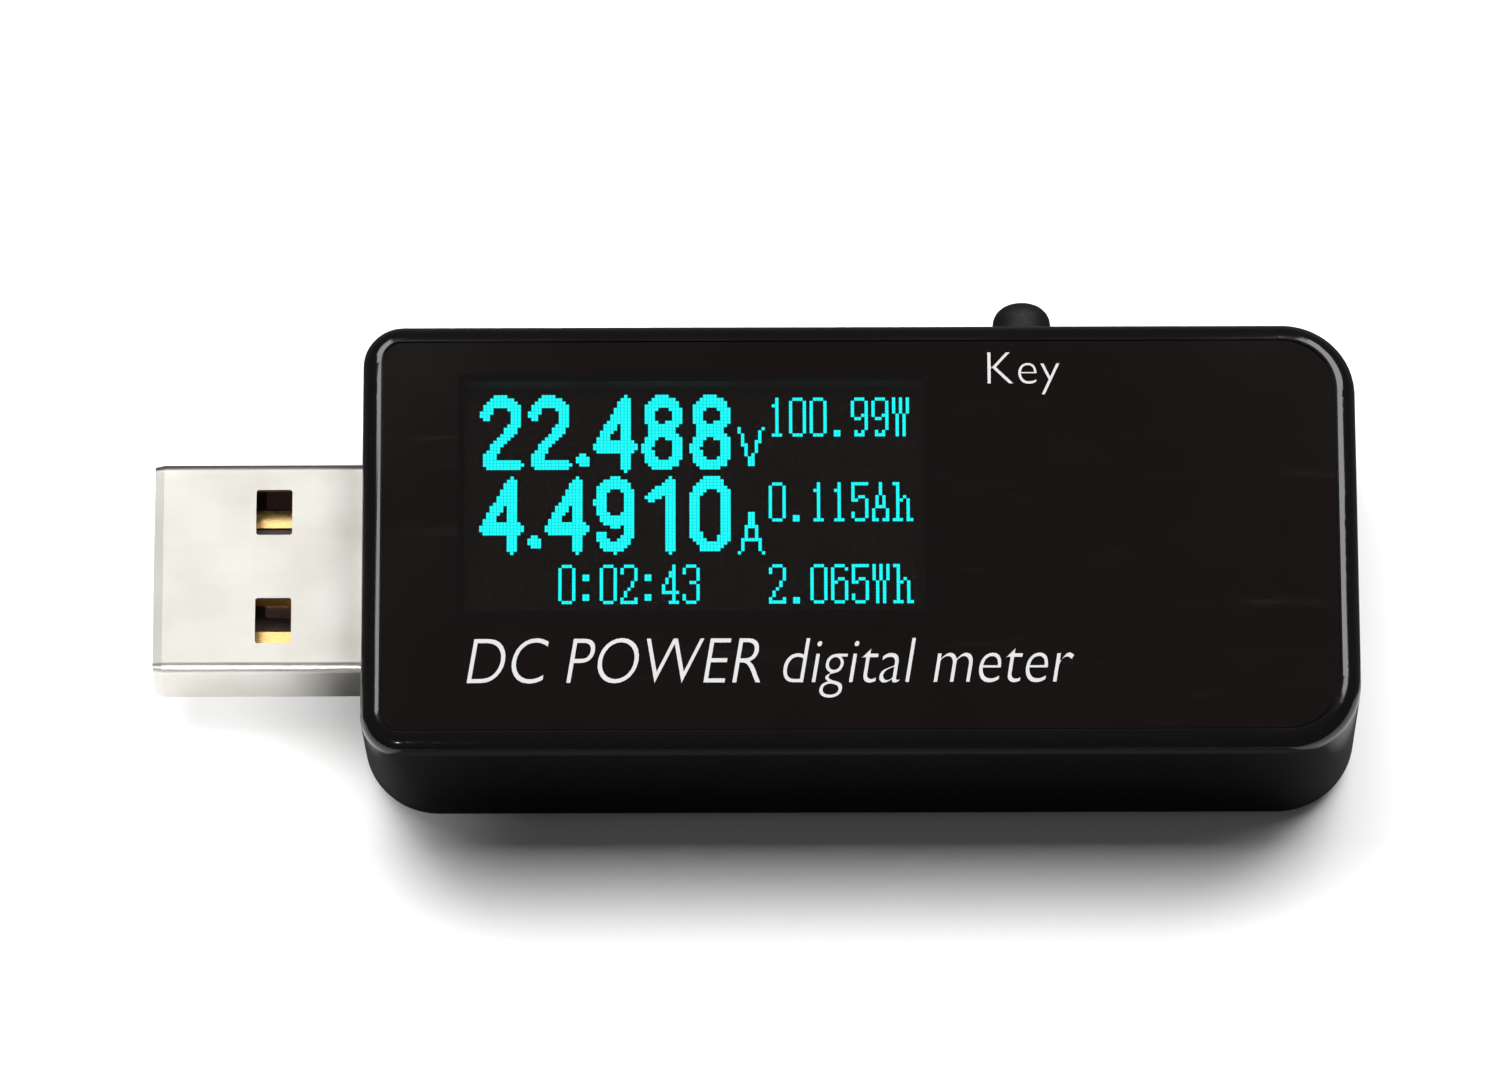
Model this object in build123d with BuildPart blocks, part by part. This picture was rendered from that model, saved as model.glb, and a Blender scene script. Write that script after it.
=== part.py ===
from build123d import *
import os

# An inline USB power meter: a two-shell case with a USB-A plug at one end and a USB-A socket in the
# other, a small display under a glossy front film, and one push key in the rear wall.
# Millimetres. The origin is the centre of the case's flat underside. +X runs from the plug to the
# socket, +Y points to the key and +Z up through the display.

# ---- Driving dimensions -------------------------------------------------------------------------

# Case: the corners are tighter at the top than at the base, and tightest at the plug end
case_length = 53.5
case_width = 24.5
case_height = 11.5
wall = 1.3
seam_z = 4.8
base_corner = 4.3
plug_end_corner = 2.0
socket_end_corner = 3.9
top_edge_radius = 1.0
base_edge_radius = 1.5
cavity_corner = 3.0
fit_gap = 0.05

# Lip of the bottom shell, which the top shell fits over, and its snap hooks
lip_thickness = 0.6
lip_height = 0.8
hook_length = 4.0
hook_depth = 0.2
hook_height = 0.35
hook_x = (-14.0, 1.0)

# Front film and the clear window in it
film_thickness = 0.25
film_recess = 0.3
film_rim = 0.1
window_length = 25.5
window_width = 14.0
window_x = -8.86
window_y = 2.3
window_ledge = 0.4

# Main board, which stands on four posts of the bottom shell
board_length = 50.2
board_width = 20.8
board_thickness = 1.0
board_corner = 2.6
board_z = 7.4
post_x = 15.5
post_y = 8.8
post_radius = 1.3
post_pin_radius = 0.65
boss_radius = 1.6
boss_pin_depth = 1.0
hole_gap = 0.08
lead_end_z = board_z + board_thickness + 0.2

# Display
panel_length = 28.6
panel_width = 18.9
panel_y = 0.85
glass_thickness = 0.65
cover_glass_width = 15.2
pad_thickness = 0.3
pad_length = 22.5
polarizer_thickness = 0.1
panel_z = board_z + board_thickness + pad_thickness

# USB-A plug and socket, both on the case's long axis
connector_z = 4.5
sheet_metal = 0.3
plug_width = 12.0
plug_height = 4.5
plug_exposed = 11.35
plug_inside = 7.0
plug_corner = 0.5
plug_mouth_length = 0.5
plug_mouth_inset = 0.12
plug_window_setback = 5.5
plug_window_length = 1.95
plug_window_width = 2.6
plug_window_corner = 0.15
plug_window_y = 3.12
socket_width = 13.1
socket_height = 5.72
socket_depth = 14.0
socket_setback = 0.15
socket_corner = 0.6
contact_width = 1.0
contact_thickness = 0.15
contact_ys = (-3.5, -1.0, 1.0, 3.5)

# Key and the side-push switch behind it
key_x = 8.9
key_z = 6.45
key_radius = 1.575
key_proud = 2.8
key_dome_radius = 1.1
key_running_gap = 0.075
key_flange_length = 5.0
key_flange_height = 2.35
key_flange_thickness = 0.8
key_flange_gap = 0.1
switch_length = 6.0
switch_depth = 2.9
switch_height = 3.0
switch_cover_thickness = 0.2
plunger_radius = 0.7
plunger_flange_radius = 1.15

# ---- Places worked out from them ----------------------------------------------------------------

half_length = case_length / 2
half_width = case_width / 2
roof_z = case_height - wall
cavity_length = case_length - 2 * wall
cavity_width = case_width - 2 * wall
film_z = case_height - film_recess
plug_tip_x = -half_length - plug_exposed
plug_rear_x = -half_length + plug_inside
socket_mouth_x = half_length - socket_setback
socket_rear_x = socket_mouth_x - socket_depth
key_tip_y = half_width + key_proud
key_flange_front_y = cavity_width / 2 - key_flange_gap
key_flange_rear_y = key_flange_front_y - key_flange_thickness
switch_z = board_z - switch_height / 2
switch_front_y = 8.9
board_top_z = board_z + board_thickness

os.makedirs("parts", exist_ok=True)


def save(piece, name):
    """Label a finished piece and write its STEP file."""
    piece.part.label = name
    export_step(piece.part, f"parts/{name}.step")


def rear_plane(y):
    """Plane across the case at y, facing the key side's opposite: local X is +X, local Y is +Z."""
    return Plane.XZ.offset(-y)


def end_plane(x):
    """Plane across the case's long axis at x: local X is +Y, local Y is +Z."""
    return Plane.YZ.offset(x)


def case_outline(length, width, plug_radius, socket_radius):
    """Rectangle with one corner radius at the plug end and another at the socket end."""
    with BuildSketch() as outline:
        Rectangle(length, width)
        fillet(outline.vertices().group_by(Axis.X)[0], plug_radius)
        fillet(outline.vertices().group_by(Axis.X)[-1], socket_radius)
    return outline.sketch


def strip(points, thickness, width, centre_y):
    """Bent strip of sheet: its upper face follows the (x, z) points, at one place across the case."""
    upper = [(x, z) for x, z in points]
    lower = [(x, z - thickness) for x, z in reversed(points)]
    with BuildPart() as bent:
        with BuildSketch(rear_plane(centre_y)):
            with BuildLine():
                Polyline(*upper, *lower, close=True)
            make_face()
        extrude(amount=width / 2, both=True)
    return bent.part


# ---- Case ---------------------------------------------------------------------------------------

# Both shells are cut from one hollow form, with its two connector openings
with BuildPart() as case_walls:
    with BuildSketch(Plane.XY):
        add(case_outline(case_length, case_width, base_corner, base_corner))
    with BuildSketch(Plane.XY.offset(case_height)):
        add(case_outline(case_length, case_width, plug_end_corner, socket_end_corner))
    loft(ruled=True)
    fillet(case_walls.faces().sort_by(Axis.Z)[-1].edges(), top_edge_radius)
    fillet(case_walls.faces().sort_by(Axis.Z)[0].edges(), base_edge_radius)
    with BuildSketch(Plane.XY.offset(wall)):
        RectangleRounded(cavity_length, cavity_width, cavity_corner)
    extrude(amount=roof_z - wall, mode=Mode.SUBTRACT)
    with BuildSketch(end_plane(-half_length - wall)):
        with Locations((0, connector_z)):
            RectangleRounded(plug_width + 2 * fit_gap, plug_height + 2 * fit_gap, plug_corner)
    extrude(amount=3 * wall, mode=Mode.SUBTRACT)
    with BuildSketch(end_plane(half_length - 2 * wall)):
        with Locations((0, connector_z)):
            RectangleRounded(
                socket_width + 2 * fit_gap, socket_height + 2 * fit_gap, socket_corner
            )
    extrude(amount=3 * wall, mode=Mode.SUBTRACT)

with BuildPart() as bottom_shell:
    add(case_walls.part)
    split(bisect_by=Plane.XY.offset(seam_z), keep=Keep.BOTTOM)
    # Lip, in line with the cavity's wall, with gaps for the plug, the socket and the key
    with BuildSketch(Plane.XY.offset(seam_z)):
        RectangleRounded(
            cavity_length + 2 * lip_thickness,
            cavity_width + 2 * lip_thickness,
            cavity_corner + lip_thickness,
        )
        RectangleRounded(cavity_length, cavity_width, cavity_corner, mode=Mode.SUBTRACT)
        with Locations((-half_length, 0)):
            Rectangle(4 * wall, plug_width + 4 * fit_gap, mode=Mode.SUBTRACT)
        with Locations((half_length, 0)):
            Rectangle(4 * wall, socket_width + 4 * fit_gap, mode=Mode.SUBTRACT)
        with Locations((key_x, half_width)):
            Rectangle(key_flange_length + 0.6, 4 * wall, mode=Mode.SUBTRACT)
    extrude(amount=lip_height)
    # Snap hooks on the outside of the lip's long sides
    with BuildSketch(Plane.XY.offset(seam_z + 0.25)):
        for x in hook_x:
            for side in (-1, 1):
                with Locations((x, side * (cavity_width / 2 + lip_thickness))):
                    Rectangle(hook_length, 2 * hook_depth)
    extrude(amount=hook_height)
    # Posts for the board, each with a pin for the board's hole, longer at the socket end
    with BuildSketch(Plane.XY.offset(wall)):
        with GridLocations(2 * post_x, 2 * post_y, 2, 2):
            Circle(post_radius)
    extrude(amount=board_z - wall)
    with BuildSketch(Plane.XY.offset(board_z)):
        with GridLocations(2 * post_x, 2 * post_y, 2, 2):
            Circle(post_pin_radius)
    extrude(amount=board_thickness)
    with BuildSketch(Plane.XY.offset(board_top_z)):
        with Locations((post_x, -post_y), (post_x, post_y)):
            Circle(post_pin_radius)
    extrude(amount=boss_pin_depth - 0.1)
    # Cradle ribs under the plug and under the socket
    with BuildSketch(Plane.XY.offset(wall)):
        with Locations((plug_rear_x - 1.5, 0)):
            Rectangle(1.2, 10)
    extrude(amount=connector_z - plug_height / 2 - wall)
    with BuildSketch(Plane.XY.offset(wall)):
        with Locations((socket_rear_x + 2, 0), (socket_mouth_x - 4, 0)):
            Rectangle(1.2, 11)
    extrude(amount=connector_z - socket_height / 2 - wall)
save(bottom_shell, "bottom_shell")

with BuildPart() as top_shell:
    add(case_walls.part)
    split(bisect_by=Plane.XY.offset(seam_z), keep=Keep.TOP)
    # Rebate over the bottom shell's lip, and pockets for its hooks
    rebate = lip_thickness + fit_gap
    with BuildSketch(Plane.XY.offset(seam_z)):
        RectangleRounded(
            cavity_length + 2 * rebate, cavity_width + 2 * rebate, cavity_corner + rebate
        )
    extrude(amount=lip_height + fit_gap, mode=Mode.SUBTRACT)
    with BuildSketch(Plane.XY.offset(seam_z + 0.2)):
        for x in hook_x:
            for side in (-1, 1):
                with Locations((x, side * (cavity_width / 2 + rebate))):
                    Rectangle(hook_length + 0.2, 2 * (hook_depth + fit_gap))
    extrude(amount=hook_height + 0.1, mode=Mode.SUBTRACT)
    # Notch for the key, round above and open to the seam below
    with BuildSketch(rear_plane(half_width + wall)):
        with Locations((key_x, key_z)):
            Circle(key_radius + key_running_gap)
            Rectangle(
                2 * (key_radius + key_running_gap), key_z - seam_z, align=(Align.CENTER, Align.MAX)
            )
    extrude(amount=2.5 * wall, mode=Mode.SUBTRACT)
    # Recess for the front film, and the display's opening in its floor
    with BuildSketch(Plane.XY.offset(film_z)):
        add(
            case_outline(
                case_length - 2 * (top_edge_radius + film_rim),
                case_width - 2 * (top_edge_radius + film_rim),
                plug_end_corner - top_edge_radius,
                socket_end_corner - top_edge_radius,
            )
        )
    extrude(amount=film_recess, mode=Mode.SUBTRACT)
    with BuildSketch(Plane.XY.offset(roof_z)):
        with Locations((window_x, window_y)):
            Rectangle(window_length - 2 * window_ledge, window_width - 2 * window_ledge)
    extrude(amount=wall, mode=Mode.SUBTRACT)
    # Bosses that press on the board at the socket end and take the long pins
    with BuildSketch(Plane.XY.offset(board_top_z)):
        with Locations((post_x, -post_y), (post_x, post_y)):
            Circle(boss_radius)
    extrude(amount=roof_z - board_top_z)
    with BuildSketch(Plane.XY.offset(board_top_z)):
        with Locations((post_x, -post_y), (post_x, post_y)):
            Circle(post_pin_radius + hole_gap)
    extrude(amount=boss_pin_depth, mode=Mode.SUBTRACT)
save(top_shell, "top_shell")

with BuildPart() as front_overlay:
    film_edge = top_edge_radius + film_rim + fit_gap
    with BuildSketch(Plane.XY.offset(film_z)):
        add(
            case_outline(
                case_length - 2 * film_edge,
                case_width - 2 * film_edge,
                plug_end_corner - top_edge_radius,
                socket_end_corner - top_edge_radius,
            )
        )
        with Locations((window_x, window_y)):
            Rectangle(window_length, window_width, mode=Mode.SUBTRACT)
    extrude(amount=film_thickness)
save(front_overlay, "front_overlay")

with BuildPart() as display_window:
    with BuildSketch(Plane.XY.offset(film_z)):
        with Locations((window_x, window_y)):
            Rectangle(window_length, window_width)
    extrude(amount=film_thickness)
save(display_window, "display_window")

# ---- Display ------------------------------------------------------------------------------------

panel_front_y = panel_y - panel_width / 2
panel_rear_y = panel_y + panel_width / 2
ledge_z = panel_z + glass_thickness
cover_top_z = ledge_z + glass_thickness

with BuildPart() as oled_substrate:
    with BuildSketch(Plane.XY.offset(panel_z)):
        with Locations((window_x, panel_y)):
            Rectangle(panel_length, panel_width)
    extrude(amount=glass_thickness)
save(oled_substrate, "oled_substrate")

with BuildPart() as oled_cover_glass:
    with BuildSketch(Plane.XY.offset(ledge_z)):
        with Locations((window_x, panel_rear_y - 0.15)):
            Rectangle(panel_length - 0.3, cover_glass_width, align=(Align.CENTER, Align.MAX))
    extrude(amount=glass_thickness)
save(oled_cover_glass, "oled_cover_glass")

with BuildPart() as oled_polarizer:
    with BuildSketch(Plane.XY.offset(cover_top_z)):
        with Locations((window_x, panel_rear_y - 0.6)):
            Rectangle(
                panel_length - 1.4, cover_glass_width - 1.0, align=(Align.CENTER, Align.MAX)
            )
    extrude(amount=polarizer_thickness)
save(oled_polarizer, "oled_polarizer")

with BuildPart() as oled_driver_chip:
    with BuildSketch(Plane.XY.offset(ledge_z)):
        with Locations((window_x, panel_front_y + 2.2)):
            Rectangle(11.0, 1.0)
    extrude(amount=0.3)
save(oled_driver_chip, "oled_driver_chip")

# Flexible tail: bonded to the glass ledge, folded down past its edge and soldered to the board
flex_thickness = 0.1
flex_bond_y = panel_front_y + 1.2
flex_fold_y = panel_front_y - 0.9
with BuildPart() as oled_flex:
    with BuildSketch(end_plane(window_x)):
        with BuildLine():
            Polyline(
                (flex_bond_y, ledge_z),
                (flex_bond_y, ledge_z + flex_thickness),
                (flex_fold_y, ledge_z + flex_thickness),
                (flex_fold_y, board_top_z),
                (panel_front_y - 0.1, board_top_z),
                (panel_front_y - 0.1, board_top_z + flex_thickness),
                (flex_fold_y + flex_thickness, board_top_z + flex_thickness),
                (flex_fold_y + flex_thickness, ledge_z),
                close=True,
            )
        make_face()
    extrude(amount=6.0, both=True)
    fold_edges = oled_flex.edges().filter_by(Axis.X).group_by(Axis.Y)[0]
    fillet(fold_edges, flex_thickness)
save(oled_flex, "oled_flex")

# Foam pad, which stops short of the plug's leads
with BuildPart() as oled_pad:
    with BuildSketch(Plane.XY.offset(board_top_z)):
        with Locations((window_x + panel_length / 2 - 0.6, panel_y + 0.3)):
            Rectangle(pad_length, panel_width - 1.6, align=(Align.MAX, Align.CENTER))
    extrude(amount=pad_thickness)
save(oled_pad, "oled_pad")

# ---- Main board ---------------------------------------------------------------------------------

plug_tab_x = plug_rear_x - 1.6
plug_lead_x = plug_rear_x + 0.25
socket_tab_x = socket_mouth_x - 5.0
socket_lead_x = socket_rear_x - 0.3
tab_length = 1.6

with BuildPart() as main_board:
    with BuildSketch(Plane.XY.offset(board_z)):
        RectangleRounded(board_length, board_width, board_corner)
        with GridLocations(2 * post_x, 2 * post_y, 2, 2):
            Circle(post_pin_radius + hole_gap, mode=Mode.SUBTRACT)
        for lead_x in (plug_lead_x, socket_lead_x):
            for y in contact_ys:
                with Locations((lead_x, y)):
                    Circle(0.45, mode=Mode.SUBTRACT)
        for side in (-1, 1):
            with Locations((plug_tab_x, side * (plug_width - sheet_metal) / 2)):
                SlotOverall(tab_length + 0.6, 0.6, mode=Mode.SUBTRACT)
            with Locations((socket_tab_x, side * (socket_width - sheet_metal) / 2)):
                SlotOverall(tab_length + 0.6, 0.6, mode=Mode.SUBTRACT)
    extrude(amount=board_thickness)
save(main_board, "main_board")

# ---- USB-A plug ---------------------------------------------------------------------------------

plug_length = plug_exposed + plug_inside
plug_bottom_z = connector_z - plug_height / 2
plug_window_x = plug_tip_x + plug_window_setback + plug_window_length / 2
plug_mouth_x = plug_tip_x + plug_mouth_length


def plug_profile(inset):
    """Outline of the plug in the current sketch, each side drawn in by inset from its outer size."""
    with Locations((0, connector_z)):
        RectangleRounded(
            plug_width - 2 * inset, plug_height - 2 * inset, max(plug_corner - inset, 0.15)
        )


def plug_space(depth):
    """Solid as long as the plug, its mouth drawn in, at the given depth below the outer skin."""
    with BuildPart() as space:
        with BuildSketch(end_plane(plug_tip_x)):
            plug_profile(depth + plug_mouth_inset)
        with BuildSketch(end_plane(plug_mouth_x)):
            plug_profile(depth)
        loft(ruled=True)
        with BuildSketch(end_plane(plug_mouth_x)):
            plug_profile(depth)
        extrude(amount=plug_length - plug_mouth_length)
    return space.part


with BuildPart() as plug_shell:
    add(plug_space(0))
    add(plug_space(sheet_metal), mode=Mode.SUBTRACT)
    # Latch windows in the top and in the bottom
    with BuildSketch(Plane.XY.offset(connector_z - plug_height)):
        with Locations((plug_window_x, -plug_window_y), (plug_window_x, plug_window_y)):
            RectangleRounded(plug_window_length, plug_window_width, plug_window_corner)
    extrude(amount=2 * plug_height, mode=Mode.SUBTRACT)
    # Seam where the folded sheet meets underneath, locked by one dovetail
    dovetail_x = plug_window_x + 3.2
    with BuildSketch(Plane.XY.offset(plug_bottom_z)):
        with BuildLine():
            Polyline(
                (plug_tip_x + 0.4, 0),
                (dovetail_x, 0),
                (dovetail_x - 0.4, 1.4),
                (dovetail_x + 2.4, 1.4),
                (dovetail_x + 2.0, 0),
                (plug_rear_x, 0),
            )
        trace(line_width=0.08)
    extrude(amount=0.15, mode=Mode.SUBTRACT)
    # Side tabs, soldered through the board
    for side in (-1, 1):
        with Locations((plug_tab_x, side * (plug_width - sheet_metal) / 2, connector_z)):
            Box(
                tab_length,
                sheet_metal,
                lead_end_z - connector_z,
                align=(Align.CENTER, Align.CENTER, Align.MIN),
            )
save(plug_shell, "plug_shell")

# Tongue in the lower half of the shell, and the block behind it that fills the shell
insulator_gap = 0.03
plug_tongue_z = connector_z
plug_block_x = plug_rear_x - 6.5
with BuildPart() as plug_insulator:
    with BuildSketch(end_plane(plug_block_x)):
        with Locations((0, connector_z)):
            RectangleRounded(
                plug_width - 2 * (sheet_metal + insulator_gap),
                plug_height - 2 * (sheet_metal + insulator_gap),
                plug_corner - sheet_metal,
            )
        for y in contact_ys:
            with Locations((y, plug_tongue_z)):
                Rectangle(
                    contact_width + 2 * insulator_gap,
                    contact_thickness + insulator_gap,
                    align=(Align.CENTER, Align.MIN),
                    mode=Mode.SUBTRACT,
                )
    extrude(amount=plug_rear_x - plug_block_x)
    with BuildSketch(Plane.XY.offset(plug_bottom_z + sheet_metal + insulator_gap)):
        with Locations((plug_block_x, 0)):
            Rectangle(11.2, 11.0, align=(Align.MAX, Align.CENTER))
    extrude(amount=plug_tongue_z - plug_bottom_z - sheet_metal - insulator_gap)
    tongue_tip = plug_insulator.faces().sort_by(Axis.X)[0]
    chamfer(tongue_tip.edges().filter_by(Axis.Y), 0.3)
save(plug_insulator, "plug_insulator")


def lead(x, y, lower_z):
    """Upright tail of a contact, through the board."""
    with BuildPart() as tail:
        with Locations((x, y, lower_z)):
            Box(
                contact_thickness,
                0.6,
                lead_end_z - lower_z,
                align=(Align.CENTER, Align.CENTER, Align.MIN),
            )
    return tail.part


# The power contacts at the sides reach further forward than the data contacts between them
plug_strips = []
for y in contact_ys:
    reach = 0.5 if abs(y) > 2 else 1.5
    tongue_tip_x = plug_block_x - 11.2 + 0.4
    top_z = plug_tongue_z + contact_thickness
    front = (tongue_tip_x + reach, top_z)
    rear = (plug_lead_x + contact_thickness / 2, top_z)
    plug_strips.append((strip([front, rear], contact_thickness, contact_width, y), y))

with BuildPart() as plug_contacts:
    for body, y in plug_strips:
        add(body)
        add(lead(plug_lead_x, y, plug_tongue_z))
save(plug_contacts, "plug_contacts")

# ---- USB-A socket -------------------------------------------------------------------------------

finger_length = 6.0
finger_width = 1.5
finger_slot = 0.3
finger_x = socket_mouth_x - 6.0
finger_bump = 0.35

with BuildPart() as socket_shell:
    with BuildSketch(end_plane(socket_rear_x)):
        with Locations((0, connector_z)):
            RectangleRounded(socket_width, socket_height, socket_corner)
            RectangleRounded(
                socket_width - 2 * sheet_metal,
                socket_height - 2 * sheet_metal,
                socket_corner - sheet_metal,
                mode=Mode.SUBTRACT,
            )
    extrude(amount=socket_depth)
    mouth_edges = socket_shell.faces().sort_by(Axis.X)[-1].inner_wires()[0].edges()
    chamfer(mouth_edges, 0.5 * sheet_metal)
    # Spring fingers: a slot on three sides of each, above and below
    with BuildSketch(Plane.XY.offset(connector_z - socket_height)):
        with Locations((finger_x, -plug_window_y), (finger_x, plug_window_y)):
            Rectangle(finger_length, finger_width + 2 * finger_slot)
            with Locations((finger_slot, 0)):
                Rectangle(finger_length, finger_width, mode=Mode.SUBTRACT)
    extrude(amount=2 * socket_height, mode=Mode.SUBTRACT)
    # The fingers' bumps, which drop into a plug's latch windows
    inner_height = socket_height - 2 * sheet_metal
    for side in (-1, 1):
        with BuildSketch(rear_plane(side * plug_window_y)):
            for face in (-1, 1):
                root_z = connector_z + face * inner_height / 2
                with BuildLine():
                    Polyline(
                        (finger_x - 1.7, root_z),
                        (finger_x - 0.9, root_z - face * finger_bump),
                        (finger_x - 0.5, root_z - face * finger_bump),
                        (finger_x + 1.1, root_z),
                        close=True,
                    )
                make_face()
        extrude(amount=finger_width / 2, both=True)
    # Side tabs, soldered through the board
    for side in (-1, 1):
        with Locations((socket_tab_x, side * (socket_width - sheet_metal) / 2, connector_z)):
            Box(
                tab_length,
                sheet_metal,
                lead_end_z - connector_z,
                align=(Align.CENTER, Align.CENTER, Align.MIN),
            )
save(socket_shell, "socket_shell")

# Block at the back and a tongue in the upper half, with the contacts under it
socket_block_x = socket_rear_x + 4.5
socket_tongue_z = connector_z + 0.1
socket_tongue_thickness = 1.8
socket_tongue_length = 8.0
with BuildPart() as socket_insulator:
    with BuildSketch(end_plane(socket_rear_x)):
        with Locations((0, connector_z)):
            RectangleRounded(
                socket_width - 2 * (sheet_metal + insulator_gap),
                socket_height - 2 * (sheet_metal + insulator_gap),
                socket_corner - sheet_metal,
            )
        for y in contact_ys:
            with Locations((y, socket_tongue_z)):
                Rectangle(
                    contact_width + 2 * insulator_gap,
                    contact_thickness + insulator_gap,
                    align=(Align.CENTER, Align.MAX),
                    mode=Mode.SUBTRACT,
                )
    extrude(amount=socket_block_x - socket_rear_x)
    with BuildSketch(Plane.XY.offset(socket_tongue_z)):
        with Locations((socket_block_x, 0)):
            Rectangle(socket_tongue_length, 11.1, align=(Align.MIN, Align.CENTER))
    extrude(amount=socket_tongue_thickness)
    tongue_tip = socket_insulator.faces().sort_by(Axis.X)[-1]
    chamfer(tongue_tip.edges().filter_by(Axis.Y), 0.35)
save(socket_insulator, "socket_insulator")

# Each contact runs under the tongue and bows down in the middle, where a plug's contact meets it
bow = 0.55
bow_x = socket_block_x + 0.55 * socket_tongue_length
socket_strips = []
for y in contact_ys:
    profile = [
        (socket_lead_x - contact_thickness / 2, socket_tongue_z),
        (socket_block_x + 0.6, socket_tongue_z),
        (bow_x, socket_tongue_z - bow),
        (socket_block_x + socket_tongue_length - 1.0, socket_tongue_z - 0.05),
    ]
    socket_strips.append((strip(profile, contact_thickness, contact_width, y), y))

with BuildPart() as socket_contacts:
    for body, y in socket_strips:
        add(body)
        add(lead(socket_lead_x, y, socket_tongue_z - contact_thickness))
save(socket_contacts, "socket_contacts")

# ---- Key and its switch -------------------------------------------------------------------------

with BuildPart() as key_cap:
    with BuildSketch(rear_plane(key_tip_y)):
        with Locations((key_x, key_z)):
            Circle(key_radius)
    extrude(amount=key_tip_y - key_flange_front_y)
    fillet(key_cap.edges().sort_by(Axis.Y)[-1], key_dome_radius)
    # Flange inside the wall, which keeps the key from falling out
    flange_z = board_z - 0.1 - key_flange_height / 2
    with BuildSketch(rear_plane(key_flange_front_y)):
        with Locations((key_x, flange_z)):
            Rectangle(key_flange_length, key_flange_height)
    extrude(amount=key_flange_thickness)
save(key_cap, "key_cap")

chamber_floor_y = switch_front_y - 1.15
with BuildPart() as switch_base:
    with BuildSketch(rear_plane(switch_front_y)):
        with Locations((key_x, switch_z)):
            Rectangle(switch_length, switch_height)
    extrude(amount=switch_depth)
    with BuildSketch(rear_plane(switch_front_y)):
        with Locations((key_x, switch_z)):
            Circle(plunger_flange_radius + 0.15)
    extrude(amount=switch_front_y - chamber_floor_y, mode=Mode.SUBTRACT)
save(switch_base, "switch_base")

# Metal cover: a front plate with two side flaps
with BuildPart() as switch_cover:
    cover_length = switch_length + 2 * switch_cover_thickness
    with BuildSketch(rear_plane(switch_front_y + switch_cover_thickness)):
        with Locations((key_x, switch_z)):
            Rectangle(cover_length, switch_height)
            Circle(plunger_radius + 0.08, mode=Mode.SUBTRACT)
    extrude(amount=switch_cover_thickness)
    with BuildSketch(rear_plane(switch_front_y)):
        with Locations((key_x, switch_z)):
            Rectangle(cover_length, switch_height)
            Rectangle(switch_length, switch_height, mode=Mode.SUBTRACT)
    extrude(amount=2.0)
save(switch_cover, "switch_cover")

plunger_rear_y = switch_front_y - 0.55
with BuildPart() as switch_plunger:
    with BuildSketch(rear_plane(key_flange_rear_y)):
        with Locations((key_x, switch_z)):
            Circle(plunger_radius)
    extrude(amount=key_flange_rear_y - plunger_rear_y)
    with BuildSketch(rear_plane(plunger_rear_y)):
        with Locations((key_x, switch_z)):
            Circle(plunger_flange_radius)
    extrude(amount=-0.5)
save(switch_plunger, "switch_plunger")

# Snap dome: a thin cap cut from a hollow ball, open towards the chamber's floor
dome_thickness = 0.08
dome_radius = 1.15
dome_rise = plunger_rear_y - chamber_floor_y - dome_thickness - 0.02
dome_curvature = (dome_radius**2 + dome_rise**2) / (2 * dome_rise)
with BuildPart() as switch_dome:
    with Locations((key_x, chamber_floor_y + dome_rise - dome_curvature, switch_z)):
        Sphere(dome_curvature + dome_thickness)
        Sphere(dome_curvature, mode=Mode.SUBTRACT)
    split(bisect_by=rear_plane(chamber_floor_y), keep=Keep.BOTTOM)
save(switch_dome, "switch_dome")

# ---- Electronics under the board ----------------------------------------------------------------

mcu_side = 7.0
mcu_height = 1.4
mcu_x = -8.0
mcu_y = -2.5
mcu_pitch = 0.8
mcu_leads_per_side = 8
mcu_standoff = 0.1

with BuildPart() as mcu_chip:
    with Locations((mcu_x, mcu_y, board_z - mcu_standoff)):
        Box(mcu_side, mcu_side, mcu_height, align=(Align.CENTER, Align.CENTER, Align.MAX))
    chamfer(mcu_chip.edges().group_by(Axis.Z)[0], 0.2)
save(mcu_chip, "mcu_chip")

# Gull-wing lead, drawn at the package's +X side: out of the package, up to the board and out again
lead_metal = 0.15
shoulder_z = board_z - mcu_standoff - mcu_height / 2
with BuildPart() as mcu_lead:
    with BuildSketch(Plane.XZ):
        with BuildLine():
            Polyline(
                (mcu_side / 2, shoulder_z),
                (mcu_side / 2 + 0.3, shoulder_z),
                (mcu_side / 2 + 0.5, board_z),
                (mcu_side / 2 + 1.0, board_z),
                (mcu_side / 2 + 1.0, board_z - lead_metal),
                (mcu_side / 2 + 0.62, board_z - lead_metal),
                (mcu_side / 2 + 0.42, shoulder_z - lead_metal),
                (mcu_side / 2, shoulder_z - lead_metal),
                close=True,
            )
        make_face()
    extrude(amount=0.15, both=True)

with BuildPart() as mcu_leads:
    with Locations((mcu_x, mcu_y, 0)):
        with PolarLocations(0, 4):
            with GridLocations(0, mcu_pitch, 1, mcu_leads_per_side):
                add(mcu_lead.part)
save(mcu_leads, "mcu_leads")

with BuildPart() as shunt_resistor:
    with Locations((4.0, -6.6, board_z)):
        Box(6.4, 3.2, 0.6, align=(Align.CENTER, Align.CENTER, Align.MAX))
    chamfer(shunt_resistor.edges().group_by(Axis.Z)[0], 0.1)
save(shunt_resistor, "shunt_resistor")


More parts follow.
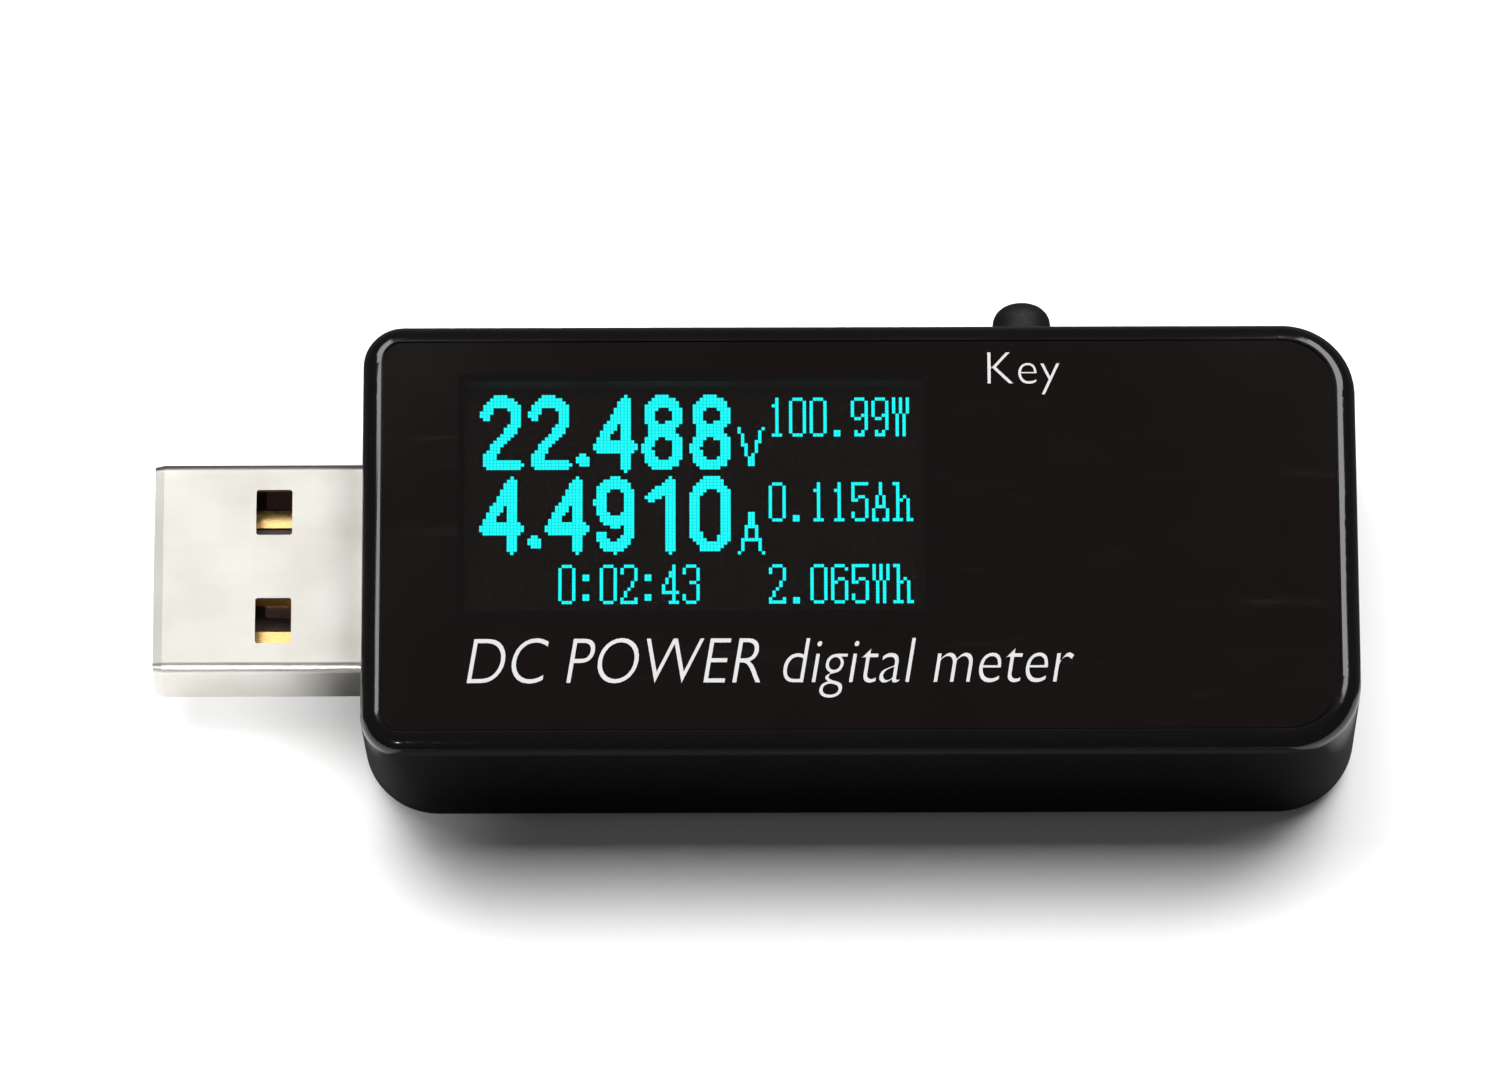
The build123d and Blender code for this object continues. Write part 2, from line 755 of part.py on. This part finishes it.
def small_package(length, width, height, lead_ys, centre):
    """Chip package under the board with flat leads out of both ends, as one solid."""
    with BuildPart() as package:
        with Locations((centre[0], centre[1], board_z)):
            Box(length, width, height, align=(Align.CENTER, Align.CENTER, Align.MAX))
        chamfer(package.edges().group_by(Axis.Z)[0], 0.15)
        for y in lead_ys:
            with Locations((centre[0], centre[1] + y, board_z)):
                Box(length + 1.4, 0.4, 0.15, align=(Align.CENTER, Align.CENTER, Align.MAX))
    return package


sense_amplifier = small_package(1.6, 3.0, 1.1, (-0.95, 0, 0.95), (6.0, -1.6))
save(sense_amplifier, "sense_amplifier")

voltage_regulator = small_package(3.5, 6.5, 1.6, (-2.3, 0, 2.3), (0.5, 4.6))
save(voltage_regulator, "voltage_regulator")

with BuildPart() as chip_capacitors:
    with Locations(
        (-16.5, -3.0, board_z),
        (-16.5, 0.0, board_z),
        (-16.5, 3.0, board_z),
        (-5.0, 5.0, board_z),
        (-5.0, 8.0, board_z),
        (0.5, -1.0, board_z),
        (9.5, -8.6, board_z),
        (9.5, 2.4, board_z),
    ):
        Box(2.0, 1.25, 1.0, align=(Align.CENTER, Align.CENTER, Align.MAX))
save(chip_capacitors, "chip_capacitors")

with BuildPart() as chip_resistors:
    with Locations((-10.5, 6.6, board_z)):
        with GridLocations(2.6, 1.6, 3, 3):
            Box(1.6, 0.8, 0.5, align=(Align.CENTER, Align.CENTER, Align.MAX))
    with Locations((9.5, -3.2, board_z)):
        with GridLocations(0, 1.6, 1, 4):
            Box(1.6, 0.8, 0.5, align=(Align.CENTER, Align.CENTER, Align.MAX))
save(chip_resistors, "chip_resistors")
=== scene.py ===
import math

import bmesh
import bpy
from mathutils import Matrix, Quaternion, Vector


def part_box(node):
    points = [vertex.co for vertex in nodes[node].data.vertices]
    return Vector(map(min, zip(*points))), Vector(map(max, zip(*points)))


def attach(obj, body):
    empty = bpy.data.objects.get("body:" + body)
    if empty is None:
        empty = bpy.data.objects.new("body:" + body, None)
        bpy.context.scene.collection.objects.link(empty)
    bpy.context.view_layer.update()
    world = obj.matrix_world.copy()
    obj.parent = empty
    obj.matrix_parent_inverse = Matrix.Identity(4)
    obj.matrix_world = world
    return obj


# Looks of the inline USB power meter. Everything is in metres, in the CAD model's own frame:
# +X from the plug to the socket, +Y towards the key, +Z up through the display.

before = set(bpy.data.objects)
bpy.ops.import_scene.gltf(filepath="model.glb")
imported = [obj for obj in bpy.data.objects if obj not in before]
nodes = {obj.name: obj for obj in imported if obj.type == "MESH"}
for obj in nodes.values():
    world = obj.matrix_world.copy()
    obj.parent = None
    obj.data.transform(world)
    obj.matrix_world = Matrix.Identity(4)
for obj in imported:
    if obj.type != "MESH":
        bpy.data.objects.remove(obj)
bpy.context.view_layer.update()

MM = 0.001


# ---- Material helpers ---------------------------------------------------------------------------


class Graph:
    """A new material with one Principled shader, and short calls that add and link its nodes."""

    def __init__(self, name, color, roughness, metallic=0.0):
        self.material = bpy.data.materials.new(name)
        self.material.use_nodes = True
        self.tree = self.material.node_tree
        self.shader = self.tree.nodes["Principled BSDF"]
        self.set("Base Color", (*color, 1.0))
        self.set("Roughness", roughness)
        self.set("Metallic", metallic)
        self.set("IOR", 1.5)

    def set(self, socket, value):
        self.shader.inputs[socket].default_value = value

    def node(self, kind, inputs=None, **settings):
        made = self.tree.nodes.new(kind)
        for key, value in settings.items():
            setattr(made, key, value)
        for key, value in (inputs or {}).items():
            if isinstance(value, bpy.types.NodeSocket):
                self.tree.links.new(value, made.inputs[key])
            else:
                made.inputs[key].default_value = value
        return made

    def place(self, stretch=(1.0, 1.0, 1.0)):
        """Object coordinates, which are the model's own metres, stretched along each axis."""
        where = self.node("ShaderNodeTexCoord").outputs["Object"]
        return self.node("ShaderNodeMapping", {"Vector": where, "Scale": stretch}).outputs[0]

    def noise(self, size, detail=3.0, stretch=(1.0, 1.0, 1.0), rough=0.5):
        """Noise whose blobs are about size metres across."""
        inputs = {
            "Vector": self.place(stretch),
            "Scale": 1.0 / size,
            "Detail": detail,
            "Roughness": rough,
        }
        return self.node("ShaderNodeTexNoise", inputs).outputs["Fac"]

    def ramp(self, source, low, high, start=0.0, end=1.0):
        """Values from low to high as the source goes from start to end."""
        inputs = {0: source, 1: start, 2: end, 3: low, 4: high}
        return self.node("ShaderNodeMapRange", inputs).outputs[0]

    def blend(self, fac, first, second):
        """Colour that goes from first to second with fac."""
        mixer = self.node("ShaderNodeMix", data_type="RGBA")
        self.tree.links.new(fac, mixer.inputs[0])
        for slot, value in ((6, first), (7, second)):
            if isinstance(value, bpy.types.NodeSocket):
                self.tree.links.new(value, mixer.inputs[slot])
            else:
                mixer.inputs[slot].default_value = (*value, 1.0)
        return mixer.outputs[2]

    def math(self, operation, first, second=0.0):
        return self.node(
            "ShaderNodeMath", {0: first, 1: second}, operation=operation
        ).outputs[0]

    def drive(self, socket, source):
        self.tree.links.new(source, self.shader.inputs[socket])

    def bump(self, height, distance):
        """Bump of the given depth in metres."""
        made = self.node("ShaderNodeBump", {"Height": height, "Distance": distance})
        self.drive("Normal", made.outputs[0])


def polished_black(name, color, smooth, peel):
    """Polished black: faint flow marks, hairline scuffs, a trace of orange peel.

    Gives the graph and how worn each spot is, for the caller to set the roughness from."""
    g = Graph(name, color, smooth)
    flow_marks = g.noise(6 * MM, detail=4.0)
    scuffs = g.noise(1.2 * MM, detail=6.0, stretch=(0.12, 1.0, 1.0), rough=0.65)
    paler = tuple(min(1.0, 1.5 * c + 0.001) for c in color)
    g.drive("Base Color", g.blend(g.ramp(scuffs, 0.0, 0.6, 0.55, 0.85), color, paler))
    g.bump(g.noise(0.9 * MM, detail=2.0), peel)
    worn = g.math("ADD", g.ramp(flow_marks, 0.0, 0.6), g.ramp(scuffs, 0.0, 0.8, 0.62, 0.8))
    return g, worn


def gloss_black(name, color, smooth, rough, peel):
    """Black that is polished all over."""
    g, worn = polished_black(name, color, smooth, peel)
    g.drive("Roughness", g.ramp(worn, smooth, rough))
    return g.material


def shell_black(name, color, smooth, rough, peel, opening):
    """Case plastic: polished, but matt inside the opening, which is a low and a high corner."""
    matt = 0.95
    g, worn = polished_black(name, color, smooth, peel)
    spot = g.node("ShaderNodeSeparateXYZ", {"Vector": g.place()}).outputs
    inside = None
    for axis, start, end in zip("XYZ", *opening):
        middle, half = (start + end) / 2, (end - start) / 2
        off = g.math("ABSOLUTE", g.math("SUBTRACT", spot[axis], middle))
        within = g.math("LESS_THAN", off, half)
        inside = within if inside is None else g.math("MULTIPLY", inside, within)
    polished = g.ramp(worn, smooth, rough)
    g.drive("Roughness", g.math("MAXIMUM", polished, g.math("MULTIPLY", inside, matt)))
    return g.material


def plated(name, color, dull, smooth, rough, grain):
    """Nickel or tin plate over rolled sheet: fine grain along X and soft stains."""
    g = Graph(name, color, smooth, metallic=1.0)
    roll = g.noise(0.35 * MM, detail=5.0, stretch=(0.08, 1.0, 1.0), rough=0.6)
    stain = g.noise(3.5 * MM, detail=4.0)
    g.drive("Roughness", g.ramp(g.math("ADD", roll, stain), smooth, rough, 0.6, 1.4))
    g.drive("Base Color", g.blend(g.ramp(stain, 0.0, 1.0, 0.35, 0.75), color, dull))
    g.bump(roll, grain)
    return g.material


def moulded(name, color, smooth, rough, grain, spread=0.25, specular=0.5):
    """Plain moulded or cast material with a fine grain and slight changes of tone."""
    g = Graph(name, color, rough)
    g.set("Specular IOR Level", specular)
    tone = g.noise(1.5 * MM, detail=4.0)
    darker = tuple(c * (1.0 - spread) for c in color)
    paler = tuple(min(1.0, c * (1.0 + spread)) for c in color)
    g.drive("Base Color", g.blend(tone, darker, paler))
    fine = g.noise(0.12 * MM, detail=3.0)
    g.drive("Roughness", g.ramp(fine, smooth, rough, 0.3, 0.7))
    g.bump(fine, grain)
    return g.material


def smoked_film(name):
    """Clear part of the front film: polished and smoked, with a trace of haze."""
    g = Graph(name, (0.34, 0.27, 0.25), 0.03)
    g.set("Transmission Weight", 0.992)
    g.drive("Roughness", g.ramp(g.noise(2.0 * MM), 0.0, 0.04))
    return g.material


def lit(name, color, strength):
    """Light-giving pixel: dark when seen by lamps, bright by itself."""
    g = Graph(name, (0.02, 0.05, 0.05), 0.4)
    g.set("Emission Color", (*color, 1.0))
    g.set("Emission Strength", strength)
    g.drive("Roughness", g.ramp(g.noise(0.1 * MM), 0.3, 0.5))
    return g.material


# ---- Materials of the CAD nodes -----------------------------------------------------------------

# The window rests on a ledge 0.4 mm wide round the display opening. The matt region ends halfway
# over that ledge, and reaches from just under the window's face to below the case's roof.
opening_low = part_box("display_window")[0] + Vector((0.2, 0.2, -1.6)) * MM
opening_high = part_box("display_window")[1] - Vector((0.2, 0.2, 0.1)) * MM
case_black = shell_black(
    "case_black",
    (0.0020, 0.0019, 0.0019),
    0.07,
    0.2,
    0.0015 * MM,
    (opening_low, opening_high),
)
film_black = gloss_black("film_black", (0.0026, 0.0016, 0.0013), 0.05, 0.14, 0.0008 * MM)
window_clear = smoked_film("window_clear")
plug_nickel = plated(
    "plug_nickel", (0.54, 0.527, 0.49), (0.505, 0.488, 0.445), 0.34, 0.45, 0.002 * MM
)
socket_nickel = plated(
    "socket_nickel", (0.78, 0.77, 0.74), (0.66, 0.64, 0.60), 0.25, 0.42, 0.002 * MM
)
gold = plated("contact_gold", (1.0, 0.70, 0.28), (0.90, 0.58, 0.22), 0.18, 0.35, 0.001 * MM)
tin = plated("lead_tin", (0.74, 0.74, 0.75), (0.62, 0.62, 0.63), 0.3, 0.5, 0.002 * MM)
plug_plastic = moulded("connector_plastic", (0.045, 0.022, 0.018), 0.35, 0.6, 0.002 * MM)
socket_plastic = moulded("socket_plastic", (0.014, 0.014, 0.015), 0.35, 0.6, 0.002 * MM)
key_plastic = moulded("key_plastic", (0.0016, 0.0017, 0.0013), 0.55, 0.7, 0.003 * MM)
switch_plastic = moulded("switch_plastic", (0.03, 0.03, 0.03), 0.4, 0.6, 0.002 * MM)
glass_dark = moulded("display_glass", (0.008, 0.009, 0.010), 0.03, 0.08, 0.0001 * MM, 0.1)
polarizer = moulded(
    "polarizer_film", (0.0010, 0.0010, 0.0012), 0.25, 0.4, 0.0003 * MM, 0.1, specular=0.2
)
silicon = moulded("silicon", (0.08, 0.08, 0.10), 0.1, 0.2, 0.0003 * MM)
flex_film = moulded("flex_film", (0.45, 0.20, 0.04), 0.3, 0.45, 0.001 * MM)
foam = moulded("foam", (0.03, 0.03, 0.03), 0.8, 0.95, 0.02 * MM)
solder_mask = moulded("board_laminate", (0.010, 0.085, 0.030), 0.25, 0.4, 0.004 * MM)
epoxy = moulded("chip_epoxy", (0.018, 0.018, 0.020), 0.5, 0.7, 0.003 * MM)
glaze = moulded("resistor_black", (0.022, 0.022, 0.026), 0.25, 0.4, 0.001 * MM)
fired = moulded("capacitor_tan", (0.36, 0.23, 0.13), 0.4, 0.6, 0.002 * MM)

NODE_MATERIALS = {
    "top_shell": case_black,
    "bottom_shell": case_black,
    "front_overlay": film_black,
    "display_window": window_clear,
    "oled_substrate": glass_dark,
    "oled_cover_glass": glass_dark,
    "oled_polarizer": polarizer,
    "oled_driver_chip": silicon,
    "oled_flex": flex_film,
    "oled_pad": foam,
    "main_board": solder_mask,
    "plug_shell": plug_nickel,
    "plug_insulator": plug_plastic,
    "plug_contacts": gold,
    "socket_shell": socket_nickel,
    "socket_insulator": socket_plastic,
    "socket_contacts": gold,
    "key_cap": key_plastic,
    "switch_plunger": switch_plastic,
    "switch_base": switch_plastic,
    "switch_cover": socket_nickel,
    "switch_dome": socket_nickel,
    "mcu_chip": epoxy,
    "mcu_leads": tin,
    "sense_amplifier": epoxy,
    "voltage_regulator": epoxy,
    "shunt_resistor": glaze,
    "chip_capacitors": fired,
    "chip_resistors": glaze,
}
for node_name, material in NODE_MATERIALS.items():
    slots = nodes[node_name].data.materials
    slots.clear()
    slots.append(material)


# ---- Printing and readout -----------------------------------------------------------------------

film_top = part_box("front_overlay")[1].z
key_x = (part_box("key_cap")[0].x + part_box("key_cap")[1].x) / 2


def add_piece(name, mesh, material, body="case"):
    """Put a finished mesh in the scene, with its material, on its body."""
    piece = bpy.data.objects.new(name, mesh)
    mesh.materials.append(material)
    bpy.context.scene.collection.objects.link(piece)
    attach(piece, body)


def printed_line(name, words, left, right, baseline, cap_height, slant, thinning):
    """A line of raised ink on the film, fitted between left and right.

    Capitals are cap_height high. Thinning offsets the outline: below 0, the strokes are thinner."""
    ink = 0.012 * MM
    sunk = 0.1 * ink
    text = bpy.data.curves.new(name, "FONT")
    text.body = words
    text.shear = slant
    text.offset = thinning
    text.resolution_u = 6
    probe = bpy.data.objects.new(name, text)
    flat = bpy.data.meshes.new_from_object(probe)
    capital = max(v.co.y for v in flat.vertices)
    text.extrude = 0.5
    solid = bpy.data.meshes.new_from_object(probe)
    bpy.data.meshes.remove(flat)
    low = min(v.co.x for v in solid.vertices)
    high = max(v.co.x for v in solid.vertices)
    for v in solid.vertices:
        v.co.x = left + (v.co.x - low) / (high - low) * (right - left)
        v.co.y = baseline + v.co.y * cap_height / capital
        v.co.z = film_top - sunk + (v.co.z + text.extrude) * ink
    bm = bmesh.new()
    bm.from_mesh(solid)
    bmesh.ops.remove_doubles(bm, verts=bm.verts, dist=0.001 * MM)
    bm.to_mesh(solid)
    bm.free()
    bpy.data.objects.remove(probe)
    add_piece(name, solid, print_white)


print_white = moulded("print_white", (0.42, 0.42, 0.42), 0.4, 0.6, 0.001 * MM, 0.04)
printed_line(
    "title_print",
    "DC POWER digital meter",
    left=-21.05 * MM,
    right=11.4 * MM,
    baseline=-8.51 * MM,
    cap_height=2.59 * MM,
    slant=0.2,
    thinning=-0.014,
)
printed_line(
    "key_print",
    "Key",
    left=key_x - 1.97 * MM,
    right=key_x + 1.9 * MM,
    baseline=8.6 * MM,
    cap_height=1.84 * MM,
    slant=0.0,
    thinning=-0.018,
)

# The readout is a grid of lit pixels. The large digits and the unit letters beside them are pen
# strokes sampled on the grid; the small characters are drawn pixel by pixel.
GRID_COLUMNS = 128
GRID_ROWS = 64
GRID_LEFT = -20.46 * MM
GRID_TOP = 8.54 * MM
PITCH_X = 23.72 * MM / GRID_COLUMNS
PITCH_Y = 12.05 * MM / GRID_ROWS
DIGIT_WIDTH = 14
DIGIT_HEIGHT = 24
POINT_WIDTH = 5
DIGIT_PEN = 1.8
UNIT_WIDTH = 8
UNIT_HEIGHT = 13
UNIT_PEN = 0.62
SMALL_WIDTH = 6
SECOND_COLUMN = 84


def ring(cx, cy, rx, ry, points=28):
    """Closed path round an ellipse."""
    turns = [2 * math.pi * i / points for i in range(points + 1)]
    return [(cx + rx * math.cos(a), cy + ry * math.sin(a)) for a in turns]


PEN_NARROWING = 1.15

# Pen strokes of each character, in pixels right of and below its cell's corner
STROKES = {
    "0": [
        [(4.8, 2.0), (7.9, 2.0), (10.8, 5.6), (10.8, 18.0), (7.9, 21.7), (4.8, 21.7)],
        [(4.8, 21.7), (1.9, 18.0), (1.9, 5.6), (4.8, 2.0)],
    ],
    "1": [[(8.5, 2.2), (8.5, 22.0)], [(8.0, 3.2), (2.9, 6.4)]],
    "2": [
        [(1.9, 6.2), (2.4, 4.2), (4.2, 2.2), (6.6, 1.9), (9.2, 2.6), (10.8, 5.0), (10.7, 8.2)],
        [(10.7, 8.2), (8.6, 11.8), (5.2, 15.4), (2.7, 19.4), (2.7, 21.3)],
        [(2.7, 21.3), (11.0, 21.3)],
    ],
    "4": [[(9.6, 2.2), (9.6, 22.0)], [(1.9, 16.2), (11.3, 16.2)], [(9.2, 2.4), (1.9, 15.6)]],
    "8": [ring(6.4, 6.2, 4.1, 4.3), ring(6.4, 16.6, 4.5, 5.1)],
    "9": [
        ring(6.4, 7.9, 4.4, 6.0),
        [(10.8, 8.0), (10.8, 15.4), (9.6, 19.6), (6.6, 21.8), (3.8, 20.8), (2.4, 18.6)],
    ],
    ".": [[(1.9, 20.1), (2.5, 20.3)]],
    "V": [[(0.6, 0.5), (3.9, 12.0), (7.2, 0.5)]],
    "A": [[(0.9, 12.3), (4.0, 0.7), (7.1, 12.3)], [(2.2, 8.5), (5.8, 8.5)]],
}

# Rows of each small character from the top, # for a lit pixel
SMALL = {
    "0": ".###. #...# #...# #...# #...# #...# #...# #...# #...# #...# #...# .###.",
    "1": "..#.. ..#.. .##.. ..#.. ..#.. ..#.. ..#.. ..#.. ..#.. ..#.. ..#.. .###.",
    "2": ".###. #...# #...# ....# ....# ...#. ...#. ..#.. .#... .#... #...# #####",
    "3": ".###. #...# #...# ....# ....# ..##. ....# ....# ....# #...# #...# .###.",
    "4": "...#. ...#. ..##. ..##. .#.#. .#.#. #..#. #..#. ##### ...#. ...#. ..###",
    "5": "##### #.... #.... #.... #.##. ##..# ....# ....# ....# #...# #...# .###.",
    "6": ".###. #...# #.... #.... #.##. ##..# #...# #...# #...# #...# #...# .###.",
    "9": ".###. #...# #...# #...# #...# #..## .##.# ....# ....# ....# .#.#. .###.",
    ".": "..... ..... ..... ..... ..... ..... ..... ..... ..... ..... .##.. .##..",
    ":": "..... ..... ..... .##.. .##.. ..... ..... ..... ..... .##.. .##.. .....",
    "W": "#.#.# #.#.# #.#.# #.#.# #.#.# .#.#. .#.#. .#.#. .#.#. .#.#. .#.#. .#.#.",
    "A": "..#.. ..#.. ..#.. ..#.. .#.#. .#.#. .#.#. .###. #...# #...# #...# ##.##",
    "h": "##.... .#.... .#.... .#.... .#.#.. .##.#. .#..#. .#..#. .#..#. .#..#. .#..#. ###.##",
}


def from_path(x, y, path):
    """Distance from a point to a path of straight runs, for a pen taller than it is wide."""
    x *= PEN_NARROWING
    path = [(PEN_NARROWING * px, py) for px, py in path]
    nearest = math.inf
    for (ax, ay), (bx, by) in zip(path, path[1:]):
        length2 = max((bx - ax) ** 2 + (by - ay) ** 2, 1e-9)
        along = ((x - ax) * (bx - ax) + (y - ay) * (by - ay)) / length2
        along = min(1.0, max(0.0, along))
        away = math.hypot(x - ax - along * (bx - ax), y - ay - along * (by - ay))
        nearest = min(nearest, away)
    return nearest


def stroked(character, column, row, width, height, pen):
    """Lit pixels of one character drawn by pen strokes, its cell's corner at column, row."""
    return {
        (column + i, row + j)
        for i in range(width)
        for j in range(height)
        if min(from_path(i + 0.5, j + 0.5, path) for path in STROKES[character]) <= pen
    }


def large_line(words, column, row):
    """Lit pixels of a line of large digits."""
    lit_cells = set()
    for character in words:
        width = POINT_WIDTH if character == "." else DIGIT_WIDTH
        lit_cells |= stroked(character, column, row, width, DIGIT_HEIGHT, DIGIT_PEN)
        column += width
    return lit_cells


def unit(character, column, row):
    """Lit pixels of one unit letter beside a large line."""
    return stroked(character, column, row, UNIT_WIDTH, UNIT_HEIGHT, UNIT_PEN)


def small_line(words, column, row):
    """Lit pixels of a line of small characters."""
    lit_cells = set()
    for position, character in enumerate(words):
        for j, line in enumerate(SMALL[character].split()):
            for i, mark in enumerate(line):
                if mark == "#":
                    lit_cells.add((column + SMALL_WIDTH * position + i, row + j))
    return lit_cells


def pixel_piece(name, cells, material):
    """One thin closed block for each lit pixel, its foot just under the display's face."""
    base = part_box("oled_polarizer")[1].z - 0.002 * MM
    top = base + 0.012 * MM
    half_x = 0.46 * PITCH_X
    half_y = 0.46 * PITCH_Y
    verts, faces = [], []
    for column, row in sorted(cells):
        x = GRID_LEFT + (column + 0.5) * PITCH_X
        y = GRID_TOP - (row + 0.5) * PITCH_Y
        start = len(verts)
        for z in (base, top):
            for sx, sy in ((-1, -1), (1, -1), (1, 1), (-1, 1)):
                verts.append((x + sx * half_x, y + sy * half_y, z))
        faces.append([start + i for i in (3, 2, 1, 0)])
        faces.append([start + i for i in (4, 5, 6, 7)])
        for i in range(4):
            after = (i + 1) % 4
            faces.append([start + i, start + after, start + 4 + after, start + 4 + i])
    mesh = bpy.data.meshes.new(name)
    mesh.from_pydata(verts, [], faces)
    mesh.update()
    add_piece(name, mesh, material)


large_cells = large_line("22.488", 0, 0) | large_line("4.4910", 0, 25)
small_cells = unit("V", 75, 10) | unit("A", 75, 36)
small_cells |= small_line("100.99W", SECOND_COLUMN, 1)
small_cells |= small_line("0.115Ah", SECOND_COLUMN, 27)
small_cells |= small_line("0:02:43", 23, 52) | small_line("2.065Wh", SECOND_COLUMN, 52)
readout_cyan = lit("readout_cyan", (0.002, 0.93, 1.0), 4.6)
pixel_piece("readout_large", large_cells, readout_cyan)
pixel_piece("readout_small", small_cells, readout_cyan)


# ---- Studio -------------------------------------------------------------------------------------

top_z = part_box("top_shell")[1].z
LAMP_DISTANCE = 0.6


def make_camera():
    """Long lens, looking along +Y and steeply down, all but square to the case."""
    elevation = math.radians(69.3)
    roll = math.radians(0.16)
    distance = 0.645
    target = Vector((-5.9 * MM, -0.35 * MM, top_z))
    back = Vector((0.0, -math.cos(elevation), math.sin(elevation)))
    data = bpy.data.cameras.new("camera")
    data.sensor_width = 36.0
    data.lens = 288.7
    data.clip_start = 0.01
    data.clip_end = 10.0
    camera = bpy.data.objects.new("camera", data)
    camera.location = target + back * distance
    camera.rotation_mode = "QUATERNION"
    level = (-back).to_track_quat("-Z", "Y")
    camera.rotation_quaternion = Quaternion(back, -roll) @ level
    bpy.context.scene.collection.objects.link(camera)
    bpy.context.scene.camera = camera


def softbox(name, side, slope, width, height, radiance):
    """Soft lamp facing the origin, side degrees off to +X.

    Its slope is measured in the Y-Z plane: 0 is behind the case, 90 overhead, 180 in front."""
    side, slope = math.radians(side), math.radians(slope)
    away = Vector(
        (math.sin(side), math.cos(side) * math.cos(slope), math.cos(side) * math.sin(slope))
    )
    data = bpy.data.lights.new(name, "AREA")
    data.shape = "RECTANGLE"
    data.size = width
    data.size_y = height
    data.energy = radiance * math.pi * width * height
    light = bpy.data.objects.new(name, data)
    light.location = away * LAMP_DISTANCE
    light.rotation_mode = "QUATERNION"
    light.rotation_quaternion = (-away).to_track_quat("-Z", "Y")
    bpy.context.scene.collection.objects.link(light)
    return light


def make_floor():
    """Pale floor just under the case, plain to the camera and to diffuse light.

    Its colour in reflections is painted: reflections see it dark, a painted dark reflection which
    keeps the case's sides black, except in front of the object past the case's two ends, where they
    see it pale, and a little further off in front of the case, where they see it slightly paler."""
    mesh = bpy.data.meshes.new("floor")
    bm = bmesh.new()
    bmesh.ops.create_grid(bm, x_segments=1, y_segments=1, size=1.5)
    bm.to_mesh(mesh)
    bm.free()
    floor = bpy.data.objects.new("floor", mesh)
    floor.location.z = -0.02 * MM
    pale = (0.86, 0.86, 0.86)
    # dark is the floor's colour in reflections near the case: a painted dark reflection, painted
    # shade on the case's sides.
    dark = (0.045, 0.045, 0.045)
    g = Graph("floor_pale", pale, 0.7)
    tone = g.blend(g.noise(40 * MM), (0.84, 0.84, 0.84), (0.88, 0.88, 0.88))
    spot = g.node("ShaderNodeSeparateXYZ", {"Vector": g.place()}).outputs
    sideways = g.math("ABSOLUTE", spot["X"])
    ahead = g.ramp(spot["Y"], 0.0, 1.0, -2.5 * MM, -5.5 * MM)
    beside_case = g.ramp(sideways, 0.0, 1.0, 28.0 * MM, 31.0 * MM)
    beyond_shadow = g.ramp(spot["Y"], 0.0, 0.1, -17.0 * MM, -25.0 * MM)
    clear_of_case = g.math("MULTIPLY", ahead, g.math("MAXIMUM", beside_case, beyond_shadow))
    # Painted reflection: the colour that reflections see, painted dark except in the clear patches.
    painted_reflection = g.blend(clear_of_case, dark, pale)
    reflected = g.node("ShaderNodeLightPath").outputs["Is Glossy Ray"]
    # Only reflected rays see the painted reflection colour; the camera and diffuse light see the
    # plain tone.
    g.drive("Base Color", g.blend(reflected, tone, painted_reflection))
    mesh.materials.append(g.material)
    bpy.context.scene.collection.objects.link(floor)


make_camera()
make_floor()
softbox("left_softbox", -18.0, 61.0, 0.21, 0.24, 6.5)
softbox("right_softbox", 21.0, 60.0, 0.29, 0.27, 6.5)
overhead = softbox("overhead_scrim", 0.0, 64.0, 0.95, 0.44, 5.0)
overhead.visible_glossy = False
overhead.visible_transmission = False
# A narrow beam from the front fills the shadow at the plug's foot.
plug_fill = softbox("plug_fill", -8.0, 135.0, 0.014, 0.014, 2.0)
plug_fill.data.spread = math.radians(2.5)
plug_fill.location += Vector((-36.0 * MM, -7.0 * MM, 0.0))

world = bpy.data.worlds.new("studio")
world.use_nodes = True
surroundings = world.node_tree.nodes["Background"].inputs
surroundings["Color"].default_value = (1.0, 1.0, 1.0, 1.0)
surroundings["Strength"].default_value = 0.1
bpy.context.scene.world = world
bpy.context.scene.view_settings.view_transform = "Standard"
